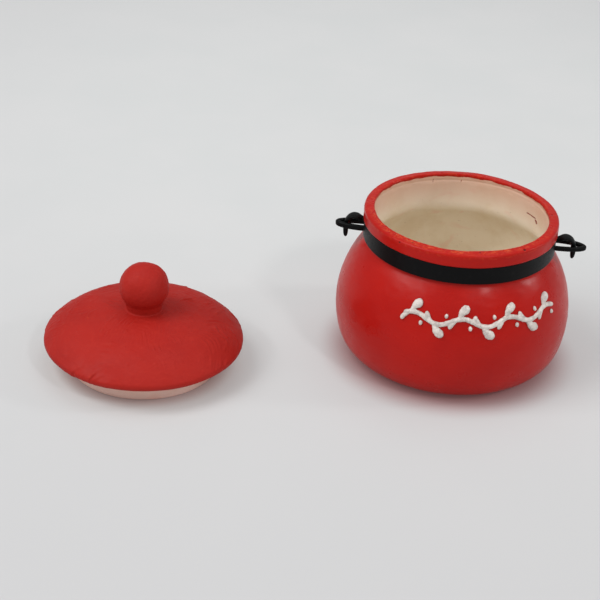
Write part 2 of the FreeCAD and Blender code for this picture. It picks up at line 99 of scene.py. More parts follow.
# points on a ring, for plain stretches, for walls, and for the finest detail
POT_POINTS = (192, 384, 768)
LID_POINTS = (160, 320, 640)
# the longest step of an outline while it is worked out, and the steps of a rounded corner
FINE = 0.05
CORNER_STEPS = 24


def srgb(red, green, blue):
    """A colour given as it looks on a screen, 0 to 255, as the linear colour that shaders use."""
    channels = []
    for value in (red, green, blue):
        share = value / 255
        linear = share / 12.92 if share <= 0.04045 else ((share + 0.055) / 1.055) ** 2.4
        channels.append(linear)
    return (*channels, 1.0)


# ---------------- outlines

def straight(start, end):
    count = max(3, math.ceil(math.dist(start, end) / FINE) + 1)
    return np.linspace(start, end, count)


def bend(centre, radius, first, last):
    """An arc from one angle to another, in degrees, as (radius, height) points."""
    count = max(3, math.ceil(abs(radius * math.radians(last - first)) / FINE) + 1)
    angles = np.radians(np.linspace(first, last, count))
    return np.column_stack(
        (centre[0] + radius * np.cos(angles), centre[1] + radius * np.sin(angles))
    )


def angle_to(centre, spot):
    return math.degrees(math.atan2(spot[1] - centre[1], spot[0] - centre[0]))


def travelled(path):
    """Length of the path up to each of its points."""
    steps = np.linalg.norm(np.diff(path, axis=0), axis=1)
    return np.concatenate(([0.0], np.cumsum(steps)))


def at_lengths(path, wanted):
    along = travelled(path)
    return np.column_stack([np.interp(wanted, along, path[:, axis]) for axis in (0, 1)])


def circles_cross(centre_a, radius_a, centre_b, radius_b):
    """Where two circles cross: of the two places, the one that lies inwards and up."""
    between = np.subtract(centre_b, centre_a)
    gap = np.linalg.norm(between)
    along = (radius_a**2 - radius_b**2 + gap**2) / (2 * gap)
    unit = between / gap
    normal = np.array((-unit[1], unit[0]))
    aside = math.copysign(math.sqrt(radius_a**2 - along**2), normal @ (-1, 1))
    return centre_a + unit * along + normal * aside


def outline_rings(stretches):
    """Radius and height, points on the ring, stretch name and distance along, for each ring.

    The stretches make a half section from one end on the axis to the other. A stretch is its
    name, path, spacing of rings, points on a ring, and how far back its first corner is rounded.
    """
    paths = [stretch[1] for stretch in stretches]
    for i, (*_, corner) in enumerate(stretches):
        if not corner:
            continue
        turn = paths[i][0]
        whole = travelled(paths[i - 1])
        keep = np.append(whole[whole < whole[-1] - corner], whole[-1] - corner)
        paths[i - 1] = at_lengths(paths[i - 1], keep)
        whole = travelled(paths[i])
        paths[i] = at_lengths(paths[i], np.append(corner, whole[whole > corner]))
        share = np.linspace(0, 1, CORNER_STEPS + 1)[:-1, None]
        curve = (1 - share) ** 2 * paths[i - 1][-1]
        curve = curve + 2 * share * (1 - share) * turn + share**2 * paths[i][0]
        paths[i] = np.vstack((curve, paths[i]))
    spots, around, names = [], [], []
    for path, (name, _, spacing, points, _) in zip(paths, stretches):
        whole = travelled(path)[-1]
        count = max(1, round(whole / spacing))
        spots.append(at_lengths(path, np.linspace(0, whole, count + 1)[:-1]))
        around += [points] * count
        names += [name] * count
    spots = np.vstack((*spots, paths[-1][-1:]))
    return spots, around + around[-1:], names + names[-1:], travelled(spots)


def shoulder_circle():
    """The arc from the belly up to the neck: its centre's distance from the axis, and its radius."""
    belly_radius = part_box("pot_body")[1].x / MM
    inset = belly_radius - NECK_RADIUS
    rise = NECK_BASE - BELLY_HEIGHT
    radius = (inset**2 + rise**2) / (2 * inset)
    return belly_radius - radius, radius


def pot_outline():
    belly_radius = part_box("pot_body")[1].x / MM
    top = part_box("pot_body")[1].z / MM
    neck = NECK_RADIUS
    mouth = MOUTH_RADIUS
    rim = neck + RIM_OVERHANG
    rim_bottom = top - RIM_HEIGHT
    foot = belly_radius - FOOT_INSET
    level = BELLY_HEIGHT
    shoulder_middle, shoulder_radius = shoulder_circle()
    shoulder = (shoulder_middle, level)
    lower = (belly_radius - LOWER_WALL_RADIUS, level)
    turn = circles_cross(
        lower, LOWER_WALL_RADIUS - FOOT_TURN_RADIUS, (foot, 0), FOOT_TURN_RADIUS
    )
    turn_first, turn_last = angle_to(turn, (foot, 0)), angle_to(lower, turn)
    neck_angle = angle_to(shoulder, (neck, NECK_BASE))
    inner_shoulder = shoulder_radius - POT_WALL
    lip_low = level + math.sqrt(inner_shoulder**2 - (mouth - shoulder[0]) ** 2)
    lip_angle = angle_to(shoulder, (mouth, lip_low))
    inner_lower = LOWER_WALL_RADIUS - POT_WALL
    inner_turn_z = POT_FLOOR + FLOOR_TURN_RADIUS
    reach = inner_lower - FLOOR_TURN_RADIUS
    inner_turn = (lower[0] + math.sqrt(reach**2 - (level - inner_turn_z) ** 2), inner_turn_z)
    inner_angle = angle_to(lower, inner_turn)
    slope_top = top - RIM_SLOPE
    lip_end = top - LIP_DEPTH
    few, some, many = POT_POINTS
    return (
        ("foot", straight((0, 0), (foot, 0)), 2.0, few, 0),
        ("turn", bend(turn, FOOT_TURN_RADIUS, turn_first, turn_last), 0.8, some, FOOT_ROUND),
        ("lower", bend(lower, LOWER_WALL_RADIUS, turn_last, 0), 0.9, some, 0),
        ("shoulder", bend(shoulder, shoulder_radius, 0, neck_angle), 0.8, some, 0),
        ("neck", straight((neck, NECK_BASE), (neck, rim_bottom)), 0.8, some, NECK_TURN),
        ("under", straight((neck, rim_bottom), (rim, rim_bottom)), 0.4, some, 0),
        ("side", straight((rim, rim_bottom), (rim, slope_top)), 0.36, many, RIM_UNDER_ROUND),
        ("rim", straight((rim, slope_top), (mouth, top)), 0.3, many, RIM_OUTER_ROUND),
        ("lip", straight((mouth, top), (mouth, lip_end)), 0.3, many, RIM_INNER_ROUND),
        ("throat", straight((mouth, lip_end), (mouth, lip_low)), 0.8, some, 0),
        ("inner_shoulder", bend(shoulder, inner_shoulder, lip_angle, 0), 1.2, some,
         NECK_INNER_TURN),
        ("inner_lower", bend(lower, inner_lower, 0, inner_angle), 1.5, few, 0),
        ("inner_turn", bend(inner_turn, FLOOR_TURN_RADIUS, inner_angle, -90), 1.2, few, 0),
        ("floor", straight((inner_turn[0], POT_FLOOR), (0, POT_FLOOR)), 1.8, few, 0),
    )


def lid_outline():
    low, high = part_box("lid")
    plate = (high.x - low.x) / 2 / MM
    edge = (plate - LID_EDGE_RADIUS, FLANGE_HEIGHT + LID_EDGE_RADIUS)
    dome = (0, DOME_HEIGHT - DOME_RADIUS)
    shoulder = circles_cross(
        dome, DOME_RADIUS - DOME_SHOULDER_RADIUS, edge, DOME_SHOULDER_RADIUS - LID_EDGE_RADIUS
    )
    dome_angle = angle_to(dome, shoulder)
    shoulder_angle = angle_to(shoulder, edge)
    knob = (0, KNOB_HEIGHT)
    stem_top = STEM_RADIUS + STEM_FLARE
    stem_top_z = KNOB_HEIGHT - math.sqrt(KNOB_RADIUS**2 - stem_top**2)
    stem_low_z = dome[1] + math.sqrt(DOME_RADIUS**2 - STEM_RADIUS**2)
    root = MOUTH_RADIUS - FLANGE_CLEARANCE
    foot = root - FLANGE_TAPER
    inner = foot - FLANGE_WALL
    inner_radius = DOME_SHOULDER_RADIUS - LID_WALL
    inner_top = shoulder[1] + math.sqrt(inner_radius**2 - (inner - shoulder[0]) ** 2)
    cove_angle = angle_to(shoulder, (inner, inner_top))
    stem_angle = angle_to(dome, (STEM_RADIUS, stem_low_z))
    knob_angle = angle_to(knob, (stem_top, stem_top_z))
    under = FLANGE_HEIGHT
    few, some, many = LID_POINTS
    return (
        ("ceiling", bend(dome, DOME_RADIUS - LID_WALL, 90, dome_angle), 2.0, few, 0),
        ("cove", bend(shoulder, inner_radius, dome_angle, cove_angle), 1.6, few, 0),
        ("inside", straight((inner, inner_top), (inner, 0)), 1.2, few, FLANGE_INNER_TURN),
        ("foot", straight((inner, 0), (foot, 0)), 0.5, few, FLANGE_ROUND),
        ("flange", straight((foot, 0), (root, under)), 0.7, some, FLANGE_ROUND),
        ("under", straight((root, under), (edge[0], under)), 0.7, some, FLANGE_ROUND),
        ("edge", bend(edge, LID_EDGE_RADIUS, -90, shoulder_angle), 0.45, many, 0),
        ("shoulder", bend(shoulder, DOME_SHOULDER_RADIUS, shoulder_angle, dome_angle), 0.5, many, 0),
        ("dome", bend(dome, DOME_RADIUS, dome_angle, stem_angle), 0.55, many, 0),
        ("stem", straight((STEM_RADIUS, stem_low_z), (stem_top, stem_top_z)), 0.5, some,
         STEM_CREASE),
        ("knob", bend(knob, KNOB_RADIUS, knob_angle, 90), 0.55, few, STEM_TURN),
    )


# ---------------- meshes

def ripple(spots, wavelength, seed, count=28):
    """Smooth seeded noise, about -1 to 1, over points in millimetres: many plane waves added."""
    draw = np.random.default_rng(seed)
    heading = draw.normal(size=(count, 3))
    heading /= np.linalg.norm(heading, axis=1)[:, None]
    pitch = wavelength * draw.uniform(0.75, 1.35, count)
    phase = draw.uniform(0, 2 * math.pi, count)
    waves = np.sin(spots @ (heading * (2 * math.pi / pitch)[:, None]).T + phase)
    return np.clip(waves.sum(axis=1) / math.sqrt(count), -1, 1)


def uneven(spots, wave, seed, middle=0.0):
    """Noise of a given (height, wavelength), lowered by a share of that height."""
    height, wavelength = wave
    return height * (ripple(spots, wavelength, seed) - middle)


def smooth_step(value, low, high):
    share = np.clip((value - low) / (high - low), 0, 1)
    return share * share * (3 - 2 * share)


class Turned:
    """A closed skin of rings about a vertical axis, whose points can be pushed along the normal."""

    def __init__(self, stretches, centre=(0.0, 0.0)):
        spots, around, names, along = outline_rings(stretches)
        last = len(spots) - 1
        slope = np.gradient(spots, axis=0)
        slope /= np.linalg.norm(slope, axis=1)[:, None]
        out = slope[:, 1].copy()
        up = -slope[:, 0]
        # both ends of the outline are poles, which lie on the axis and face along it
        spots[[0, last], 0] = 0.0
        out[[0, last]] = 0.0
        up[0] = -1.0
        up[last] = 1.0
        # the points go ring by ring, and the two poles come last
        self.counts = around[1:last]
        self.starts = np.cumsum([0, *self.counts[:-1]]).tolist()
        sizes = [*self.counts, 1, 1]
        rows = np.repeat([*range(1, last), 0, last], sizes)
        self.centre = centre
        self.angle = np.concatenate([np.arange(size) * (2 * math.pi / size) for size in sizes])
        self.radius = spots[rows, 0]
        self.height = spots[rows, 1]
        self.out = out[rows]
        self.up = up[rows]
        self.along = along[rows]
        self.name = np.array(names)[rows]
        self.marks = {}

    def start(self, name):
        """How far along the outline a stretch starts."""
        return self.along[self.name == name].min()

    def bearing(self):
        """Angle from the front towards +X, in degrees, from -180 to 180."""
        return (np.degrees(self.angle) + 90 + 180) % 360 - 180

    def spots(self):
        """The points in millimetres, before any push, about the piece's own axis."""
        return np.column_stack(
            (self.radius * np.cos(self.angle), self.radius * np.sin(self.angle), self.height)
        )

    def on(self, *names):
        return np.isin(self.name, names)

    def faces(self):
        """Quads between rings of equal number, and triangles where the number doubles or halves."""
        rings = list(zip(self.starts, self.counts))
        low_pole = len(self.angle) - 2
        high_pole = low_pole + 1
        first, count = rings[0]
        found = [(low_pole, first + (j + 1) % count, first + j) for j in range(count)]
        for (a, n), (b, m) in zip(rings, rings[1:]):
            for j in range(min(n, m)):
                k = (j + 1) % min(n, m)
                if n == m:
                    found.append((a + j, a + k, b + k, b + j))
                elif n < m:
                    left, middle, right = [b + (2 * j + i) % m for i in range(3)]
                    found += [(a + j, a + k, middle), (a + j, middle, left), (a + k, right, middle)]
                else:
                    left, middle, right = [a + (2 * j + i) % n for i in range(3)]
                    found += [(b + k, b + j, middle), (b + j, left, middle), (b + k, middle, right)]
        last, count = rings[-1]
        return found + [(last + j, last + (j + 1) % count, high_pole) for j in range(count)]

    def build(self, name, push):
        """The piece, each point pushed out by so much but kept within the outline's own size."""
        radius = np.minimum(self.radius + self.out * push, self.radius.max())
        height = np.clip(self.height + self.up * push, self.height.min(), self.height.max())
        points = np.column_stack((
            self.centre[0] + radius * np.cos(self.angle),
            self.centre[1] + radius * np.sin(self.angle),
            height,
        ))
        return make_object(name, points, self.faces(), self.marks)


def placed(name, data):
    """A new object of this data, in the scene."""
    made = bpy.data.objects.new(name, data)
    bpy.context.scene.collection.objects.link(made)
    return made


def make_object(name, points, faces, marks):
    """A smooth mesh object. points are in millimetres; marks are numbers kept on each point."""
    mesh = bpy.data.meshes.new(name)
    mesh.from_pydata((np.asarray(points) * MM).tolist(), [], faces)
    for mark, values in marks.items():
        kept = mesh.attributes.new(mark, "FLOAT", "POINT")
        kept.data.foreach_set("value", np.asarray(values, np.float32))
    mesh.polygons.foreach_set("use_smooth", [True] * len(mesh.polygons))
    mesh.update()
    return placed(name, mesh)


# rim chips and pits: bearing, distance inwards over the rim from its outer edge, radius, depth
RIM_CHIPS = (
    (42.0, 2.1, 0.75, 0.55),
    (-35.5, 0.4, 0.45, 0.2),
    (-28.5, 3.2, 0.4, 0.2),
    (-9.0, 4.3, 0.35, 0.2),
    (13.5, 3.9, 0.4, 0.2),
    (0.8, 4.4, 0.3, 0.15),
    (97.0, 3.8, 0.4, 0.2),
    (-112.0, 1.2, 0.5, 0.3),
    (151.0, 1.8, 0.55, 0.35),
    (-164.0, 4.0, 0.5, 0.25),
)
# short dark scratches inside the throat: bearing and depth below the lip at the start, the same
# at the end, and about half the width at the start, from where they taper
THROAT_SCRATCHES = (
    (117.6, 11.4, 120.6, 9.8, 0.72),
    (120.6, 9.8, 126.5, 9.8, 0.28),
    (126.5, 9.8, 131.0, 10.0, 0.16),
    (-177.8, 3.6, -177.3, 5.0, 0.19),
    (-158.2, 3.2, -157.9, 4.8, 0.17),
)


# unevenness of the skins, each as its height and its wavelength
WALL_WAVE = (0.10, 34)
WALL_RIPPLE = (0.03, 7)
FOOT_WAVE = (0.03, 12)
INSIDE_WAVE = (0.12, 26)
RIM_LUMPS = (0.05, 6.5)
RIM_GRAIN = (0.025, 2.1)
LID_WAVE = (0.07, 24)
LID_INSIDE_WAVE = (0.1, 22)
LID_EDGE_WAVE = (0.05, 15)
KNOB_FLATS = (0.13, 9.5)
KNOB_RINGS = (0.06, 2.2)
RIDGE_PATCHES = (0.55, 4.0)
# a brush that went round left marks that are longer along a ring than across it
ROUND_MARKS = (1, 1, 2.4)

# how far the brush went over the lip and under the foot, and the ledge below the lip
PAINT_REACH_INSIDE = 1.95
PAINT_REACH_FOOT = 2.6
LEDGE_DEPTH = 3.3
LEDGE_WAVER = 0.5
LEDGE_WIDTH = 0.42
LEDGE_CUT = 0.22
SCRATCH_CUT = 0.08
# what a mark holds well inside the paint, and away from any pit or scratch
PAINTED = -9.0
UNMARKED = -1.0


def arc_between(bearing, start, circle):
    """How far it is round a circle of this radius from one bearing to others, the shorter way."""
    return np.radians((bearing - start + 180) % 360 - 180) * circle


def near_spot(bearing, distance, spot_bearing, spot_distance, radius, circle):
    """1 in the middle of a round spot on a turned surface, 0 at its edge, negative outside it."""
    across = arc_between(bearing, spot_bearing, circle)
    return 1 - np.hypot(across, distance - spot_distance) / radius


def near_scratch(bearing, depth, mark, circle):
    """1 on the line of a scratch, 0 at its edge, negative outside it."""
    first_bearing, first_depth, last_bearing, last_depth, width = mark
    end = np.array((math.radians(last_bearing - first_bearing) * circle,
                    last_depth - first_depth))
    across = arc_between(bearing, first_bearing, circle)
    down = depth - first_depth
    share = np.clip((across * end[0] + down * end[1]) / (end @ end), 0, 1)
    away = np.hypot(across - share * end[0], down - share * end[1])
    return 1 - away / (width * (1.1 - 0.6 * share))


def make_pot():
    turned = Turned(pot_outline())
    spots = turned.spots()
    bearing = turned.bearing()
    below_lip = turned.along - turned.start("lip")
    over_rim = turned.along - turned.start("rim")
    inside = turned.on("lip", "throat", "inner_shoulder", "inner_lower", "inner_turn", "floor")
    rim_zone = turned.on("side", "rim", "lip")
    top = turned.on("rim", "lip")

    # the cast wall is never quite even: long shallow waves, and a finer ripple from the brush
    push = uneven(spots, WALL_WAVE, 11, 0.4)
    push += uneven(spots * ROUND_MARKS, WALL_RIPPLE, 12)
    push = np.where(turned.on("foot"), -uneven(spots, FOOT_WAVE, 13, -1.0), push)
    push = np.where(inside, uneven(spots, INSIDE_WAVE, 14), push)
    # the rim is lumpier, most of all along its inner edge
    lumps = uneven(spots, RIM_LUMPS, 15) + uneven(spots, RIM_GRAIN, 16) - 0.03
    push = np.where(rim_zone, push + lumps * smooth_step(over_rim, -2.0, 3.5), push)
    # a shallow ledge runs round inside, just below the painted edge
    ledge = LEDGE_DEPTH + LEDGE_WAVER * np.sin(np.radians(bearing * 2 + 40))
    groove = np.exp(-((below_lip - ledge) / LEDGE_WIDTH) ** 2)
    push = np.where(inside, push - LEDGE_CUT * groove, push)

    pits = np.full(len(push), UNMARKED)
    for spot_bearing, distance, radius, depth in RIM_CHIPS:
        spot = near_spot(bearing, over_rim, spot_bearing, distance, radius, NECK_RADIUS)
        spot = np.where(rim_zone, spot, UNMARKED)
        push -= depth * smooth_step(spot, -0.5, 0.7)
        pits = np.maximum(pits, spot)
    scratches = np.full(len(push), UNMARKED)
    for mark in THROAT_SCRATCHES:
        spot = near_scratch(bearing, below_lip, mark, MOUTH_RADIUS)
        spot = np.where(inside, spot, UNMARKED)
        push -= SCRATCH_CUT * smooth_step(spot, -0.2, 0.8)
        scratches = np.maximum(scratches, spot)

    # bare clay begins where the brush stopped, inside the mouth and under the foot
    bare = np.where(inside, below_lip - PAINT_REACH_INSIDE, PAINTED)
    foot_edge = turned.start("turn") - PAINT_REACH_FOOT
    bare = np.where(turned.on("foot"), foot_edge - turned.along, bare)
    # the paint wears off along the rim's inner edge, most at the front, and a little on its outer;
    # the share all round and the outer line are partly painted highlight
    front = np.cos(np.radians(bearing * 0.9 + 6)).clip(0, 1) ** 2.5
    inner_wear = smooth_step(over_rim, 0.8, 3.9) * (0.2 + 0.8 * front)
    outer_wear_and_sheen = 0.2 * np.exp(-((over_rim - 0.1) / 0.5) ** 2)
    turned.marks = {
        "bare": bare,
        "pits": pits,
        "scratches": scratches,
        "wear_and_sheen": np.where(top, inner_wear, 0.0)
        + np.where(turned.on("side", "rim"), outer_wear_and_sheen, 0.0),
    }
    piece = turned.build("painted_pot", push)
    piece.data.materials.append(pot_material())
    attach(piece, BODY)
    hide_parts("pot_body")


# brush strokes on the lid: how many, how far out, and the least and greatest of their sizes
BRUSH_STROKES = 210
STROKE_REACH = 44
STROKE_LENGTH = (3.5, 11)
STROKE_WIDTH = (1.8, 5.0)
STROKE_CURL = 0.09
BRISTLE_LINES = 5
BRISTLE_PITCH = (1.1, 3.6)
BRISTLE_WANDER = 0.35
STROKE_BEAD = 0.9
STROKE_BEAD_WIDTH = 0.45
RIDGE_DEPTH = 0.33
RIDGE_LIMIT = 1.6
# beads of thick paint between the strokes
PAINT_BEADS = 60
BEAD_REACH = 40
BEAD_SIZE = (0.3, 0.65)
BEAD_HEIGHT = 0.2
# how far up the plate's edge the lid's paint stops, and from where on all of it is painted
LID_PAINT_EDGE = 1.1
LID_ALL_PAINTED = 9.0


def brushed(spots, seed):
    """Ridges that a stiff brush left in thick paint: short curved strokes of uneven lines.

    Each stroke covers the ones before it, and leaves a small bead of paint along its sides.
    """
    draw = np.random.default_rng(seed)
    flat = spots[:, :2]
    height = np.zeros(len(flat))
    for _ in range(BRUSH_STROKES):
        reach = STROKE_REACH * math.sqrt(draw.uniform(0.02, 1.0))
        bearing = draw.uniform(0, 2 * math.pi)
        middle = reach * np.array((math.cos(bearing), math.sin(bearing)))
        heading = bearing + math.pi / 2 + draw.normal(0, 0.9)
        curl = draw.uniform(-STROKE_CURL, STROKE_CURL)
        length = draw.uniform(*STROKE_LENGTH)
        width = draw.uniform(*STROKE_WIDTH)
        depth = 0.12 + 0.88 * draw.uniform(0, 1) ** 2.2
        offset = flat - middle
        along = offset @ np.array((math.cos(heading), math.sin(heading)))
        across = offset @ np.array((-math.sin(heading), math.cos(heading)))
        across = across - curl * along**2
        wander = BRISTLE_WANDER * np.sin(along / draw.uniform(1.6, 3.2) + draw.uniform(0, 6))
        lines = np.zeros(len(flat))
        for _ in range(BRISTLE_LINES):
            pitch = draw.uniform(*BRISTLE_PITCH)
            phase = draw.uniform(0, 2 * math.pi)
            lines += np.sin(2 * math.pi * (across + wander) / pitch + phase)
        lines *= 0.6 + 0.4 * np.sin(along / draw.uniform(1.5, 3.0) + draw.uniform(0, 6))
        lines /= math.sqrt(BRISTLE_LINES)
        ends = np.exp(-((along / length) ** 6))
        window = ends * np.exp(-((across / width) ** 6))
        aside = (np.abs(across) - width) / STROKE_BEAD_WIDTH
        bead = STROKE_BEAD * np.exp(-(aside**2)) * ends
        height = height * (1 - window) + window * depth * lines + depth * bead
    return np.clip(height, -RIDGE_LIMIT, RIDGE_LIMIT)


def make_lid():
    low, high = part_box("lid")
    centre = ((low.x + high.x) / 2 / MM, (low.y + high.y) / 2 / MM)
    turned = Turned(lid_outline(), centre)
    spots = turned.spots()
    painted = turned.on("shoulder", "dome", "stem", "knob")
    plate = turned.on("edge", "shoulder", "dome")
    past_edge = turned.along - turned.start("edge")
    to_stem = turned.start("stem") - turned.along

    push = uneven(spots, LID_WAVE, 21, 0.3)
    push = np.where(turned.on("foot"), 0.0, push)
    hidden = turned.on("ceiling", "cove", "inside")
    push = np.where(hidden, uneven(spots, LID_INSIDE_WAVE, 22), push)
    fade = smooth_step(past_edge, 0.2, 3.0) * smooth_step(to_stem, 0.0, 1.6)
    ridges = brushed(spots, 23) * (0.7 + uneven(spots, RIDGE_PATCHES, 28))
    push = np.where(plate, push + fade * RIDGE_DEPTH * ridges, push)
    # the knob was turned in the fingers: a few soft flats, and faint rings of brushed paint
    flats = uneven(spots, KNOB_FLATS, 24) + uneven(spots * ROUND_MARKS, KNOB_RINGS, 25)
    push = np.where(turned.on("knob", "stem"), flats - 0.02, push)
    # the plate's edge is a little wavy, as trimmed by hand
    wave = uneven(spots * (1, 1, 0.2), LID_EDGE_WAVE, 26, -1.0)
    push = np.where(turned.on("edge"), push - wave * smooth_step(past_edge, 0, 1.5), push)

    draw = np.random.default_rng(27)
    for _ in range(PAINT_BEADS):
        reach = BEAD_REACH * math.sqrt(draw.uniform(0.08, 1.0))
        turn = draw.uniform(0, 2 * math.pi)
        size = draw.uniform(*BEAD_SIZE)
        away = np.hypot(spots[:, 0] - reach * math.cos(turn), spots[:, 1] - reach * math.sin(turn))
        bead = np.where(plate, 1 - away / size, UNMARKED)
        push += BEAD_HEIGHT * smooth_step(bead, -0.6, 0.8)

    # the painted side ends a little way up the plate's edge, and below it the clay is bare
    turned.marks = {
        "bare": np.where(past_edge < LID_ALL_PAINTED, LID_PAINT_EDGE - past_edge, PAINTED),
        "pits": np.full(len(push), UNMARKED),
        "scratches": np.full(len(push), UNMARKED),
        # the crests of the brush ridges are painted lighter: a painted highlight
        "wear_and_sheen": np.where(painted, 0.3 * smooth_step(ridges, 0.5, 1.5), 0.0),
    }
    piece = turned.build("painted_lid", push)
    piece.data.materials.append(lid_material())
    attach(piece, BODY)
    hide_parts("lid")


# ---------------- sweeps and joins

def sweep(work, stations, points=16, squareness=2.0):
    """A closed skin through stations: (middle, across, up, half width, half above, half below).

    A squareness of 2 gives round sections, and more gives sections like a rounded rectangle.
    """
    rings = []
    for middle, across, up, half, above, below in stations:
        ring = []
        for j in range(points):
            turn = 2 * math.pi * j / points
            side = math.copysign(abs(math.cos(turn)) ** (2 / squareness), math.cos(turn))
            rise = math.copysign(abs(math.sin(turn)) ** (2 / squareness), math.sin(turn))
            rise *= above if rise > 0 else below
            ring.append(work.verts.new(middle + across * (half * side) + up * rise))
        rings.append(ring)
    for before, after in zip(rings, rings[1:]):
        for j in range(points):
            k = (j + 1) % points
            work.faces.new((before[j], before[k], after[k], after[j]))
    work.faces.new(rings[0][::-1])
    work.faces.new(rings[-1])


def headings(spots):
    """The way ahead at each of a line of spots."""
    behind = [spots[0], *spots[:-1]]
    return [after - before for before, after in zip(behind, [*spots[1:], spots[-1]])]


def raw_object(name, work):
    """A bmesh drawn in millimetres, as an object in metres; the bmesh is used up."""
    bmesh.ops.recalc_face_normals(work, faces=work.faces)
    bmesh.ops.scale(work, vec=(MM, MM, MM), verts=work.verts)
    mesh = bpy.data.meshes.new(name)
    work.to_mesh(mesh)
    work.free()
    return placed(name, mesh)


def settled_mesh(rough, spare=()):
    """The mesh that an object's modifiers give; the object and the spare ones are removed."""
    bpy.context.view_layer.update()
    depsgraph = bpy.context.evaluated_depsgraph_get()
    mesh = bpy.data.meshes.new_from_object(rough.evaluated_get(depsgraph))
    for used in (rough, *spare):
        bpy.data.objects.remove(used)
    return mesh


# ---------------- slip ornament

# the vine: the bearings of its ends, its middle height, its swings up and down, and its leaves
VINE_START = -24.0
VINE_END = 61.0
VINE_MIDDLE = 40.5
VINE_SWING = 1.5
VINE_WAVES = 3.5
VINE_LEAVES = 7
LEAF_REACH = (4.9, 5.5)
LEAF_LEAN = (4.6, 5.8)
# widths of the trails of slip
STEM_SLIP = 2.1
LEAF_SLIP = 3.8
TENDRIL_SLIP = 2.1
BERRY_SLIP = 2.2
SLIP_VOXEL = 0.2
SLIP_WAVE = (0.06, 1.7)


def on_shoulder(circle, bearing, height):
    """A point on the pot's shoulder, and the direction straight out of the surface there."""
    axis_radius, radius = circle
    level = height - BELLY_HEIGHT
    out = math.sqrt(radius**2 - level**2)
    turn = math.radians(bearing)
    facing = Vector((math.sin(turn), -math.cos(turn), 0))
    normal = (facing * out + Vector((0, 0, level))) / radius
    return facing * axis_radius + Vector((0, 0, BELLY_HEIGHT)) + normal * radius, normal


def vine(share):
    bearing = VINE_START + (VINE_END - VINE_START) * share
    return bearing, VINE_MIDDLE + VINE_SWING * math.sin(2 * math.pi * VINE_WAVES * share)


def trail(work, circle, route, width, draw, samples=22):
    """One squeeze of slip: a rounded ridge along a route of (bearing, height).

    width is a function of the share of the way along, which closes the ridge at both ends.
    """
    shares = [i / (samples - 1) for i in range(samples)]
    spots, normals = zip(*(on_shoulder(circle, *route(share)) for share in shares))
    stations = []
    for share, spot, normal, ahead in zip(shares, spots, normals, headings(spots)):
        across = normal.cross(ahead).normalized()
        half = width(share) / 2 * (1 + draw.uniform(-0.06, 0.06))
        rise = min(half, 0.55 + 0.4 * half)
        stations.append((spot, across, normal, half, rise, 0.6 * half))
    sweep(work, stations, 14)


def rounded_ends(full, blunt):
    """A width along a stroke that swells and closes like a squeezed trail of slip."""
    def width(share):
        near = min(share, 1 - share) / blunt
        return full * math.sqrt(max(0.03, 1 - max(0.0, 1 - near) ** 2))
    return width


def drop(full, tail):
    """A teardrop: narrow where it starts, widest near its far end."""
    def width(share):
        body = tail + (1 - tail) * float(smooth_step(share, 0.0, 0.6))
        close = math.sqrt(max(0.02, 1 - max(0.0, 1 - (1 - share) / 0.3) ** 2))
        return full * body * close * math.sqrt(max(0.05, min(1.0, share / 0.08)))
    return width


def sprig(work, circle, draw, share, side):
    """A leaf on one side of the stem, a tendril on the other, and a berry beside them."""
    root_bearing, root_height = vine(share)
    reach = draw.uniform(*LEAF_REACH)
    lean = draw.uniform(*LEAF_LEAN)

    def leaf(t):
        return (root_bearing + lean * t**1.4,
                root_height + side * reach * t**0.75 * (1 - 0.18 * t * t))

    def tendril(t):
        return root_bearing - 0.6 - 3.6 * math.sin(t * 1.9), root_height - side * (0.2 + 4.0 * t)

    berry_bearing, berry_height = vine(share + 0.055)

    def berry(t):
        return berry_bearing + 0.9 + (t - 0.5) * 1.9, berry_height - side * 3.2

    trail(work, circle, leaf, drop(LEAF_SLIP, 0.45), draw)
    trail(work, circle, tendril, drop(TENDRIL_SLIP, 0.6), draw)
    trail(work, circle, berry, rounded_ends(BERRY_SLIP, 0.5), draw, 9)


def make_ornament():
    """A running vine in trailed slip across the front: a wavy stem with leaves and berries."""
    draw = np.random.default_rng(31)
    circle = shoulder_circle()
    work = bmesh.new()
    trail(work, circle, vine, rounded_ends(STEM_SLIP, 0.02), draw, 180)
    for i in range(VINE_LEAVES):
        sprig(work, circle, draw, (i + 0.35) / VINE_LEAVES, 1 if i % 2 == 0 else -1)
    rough = raw_object("slip_rough", work)
    remesh = rough.modifiers.new("join", "REMESH")
    remesh.mode = "VOXEL"
    remesh.voxel_size = SLIP_VOXEL * MM
    smooth = rough.modifiers.new("soften", "SMOOTH")
    smooth.factor = 0.5
    smooth.iterations = 3
    joined = settled_mesh(rough)

    points = np.array([vertex.co for vertex in joined.vertices]) / MM
    normals = np.array([vertex.normal for vertex in joined.vertices])
    points += normals * uneven(points, SLIP_WAVE, 32)[:, None]
    out = np.hypot(points[:, 0], points[:, 1]) - circle[0]
    lift = np.hypot(out, points[:, 2] - BELLY_HEIGHT) - circle[1]
    faces = [tuple(face.vertices) for face in joined.polygons]
    bpy.data.meshes.remove(joined)
    piece = make_object("slip_vine", points, faces, {"lift": lift})
    piece.data.materials.append(slip_material())
    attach(piece, BODY)


# ---------------- neck band

BAND_INNER = 40.05
BAND_OUTER = 41.35
BAND_ROUND = 0.3
BAND_LAP = 7.0
JOINT_CLEARANCE = 0.2
LOW_LAP_TOP = 58.95
BEND_STEP = 1.5
SHARP_ABOVE = 40.0

LOOP_HALF_WIDTH = 3.3
LOOP_HALF_RAIL = 1.0
LOOP_HALF_THICKNESS = 1.0
LOOP_MIDDLE = 56.9
LOOP_ROOT = 40.9
# keeps the nose just inside the CAD loop
NOSE_SPARE = 0.01
# the two loops were pulled over their hooks and didn't stay quite alike
RIGHT_LOOP_SPREAD = 1.0
LEFT_LOOP_SHORT = 0.8
LEFT_LOOP_THICKER = 0.25
RIGHT_HOOK_SHORT = 0.8

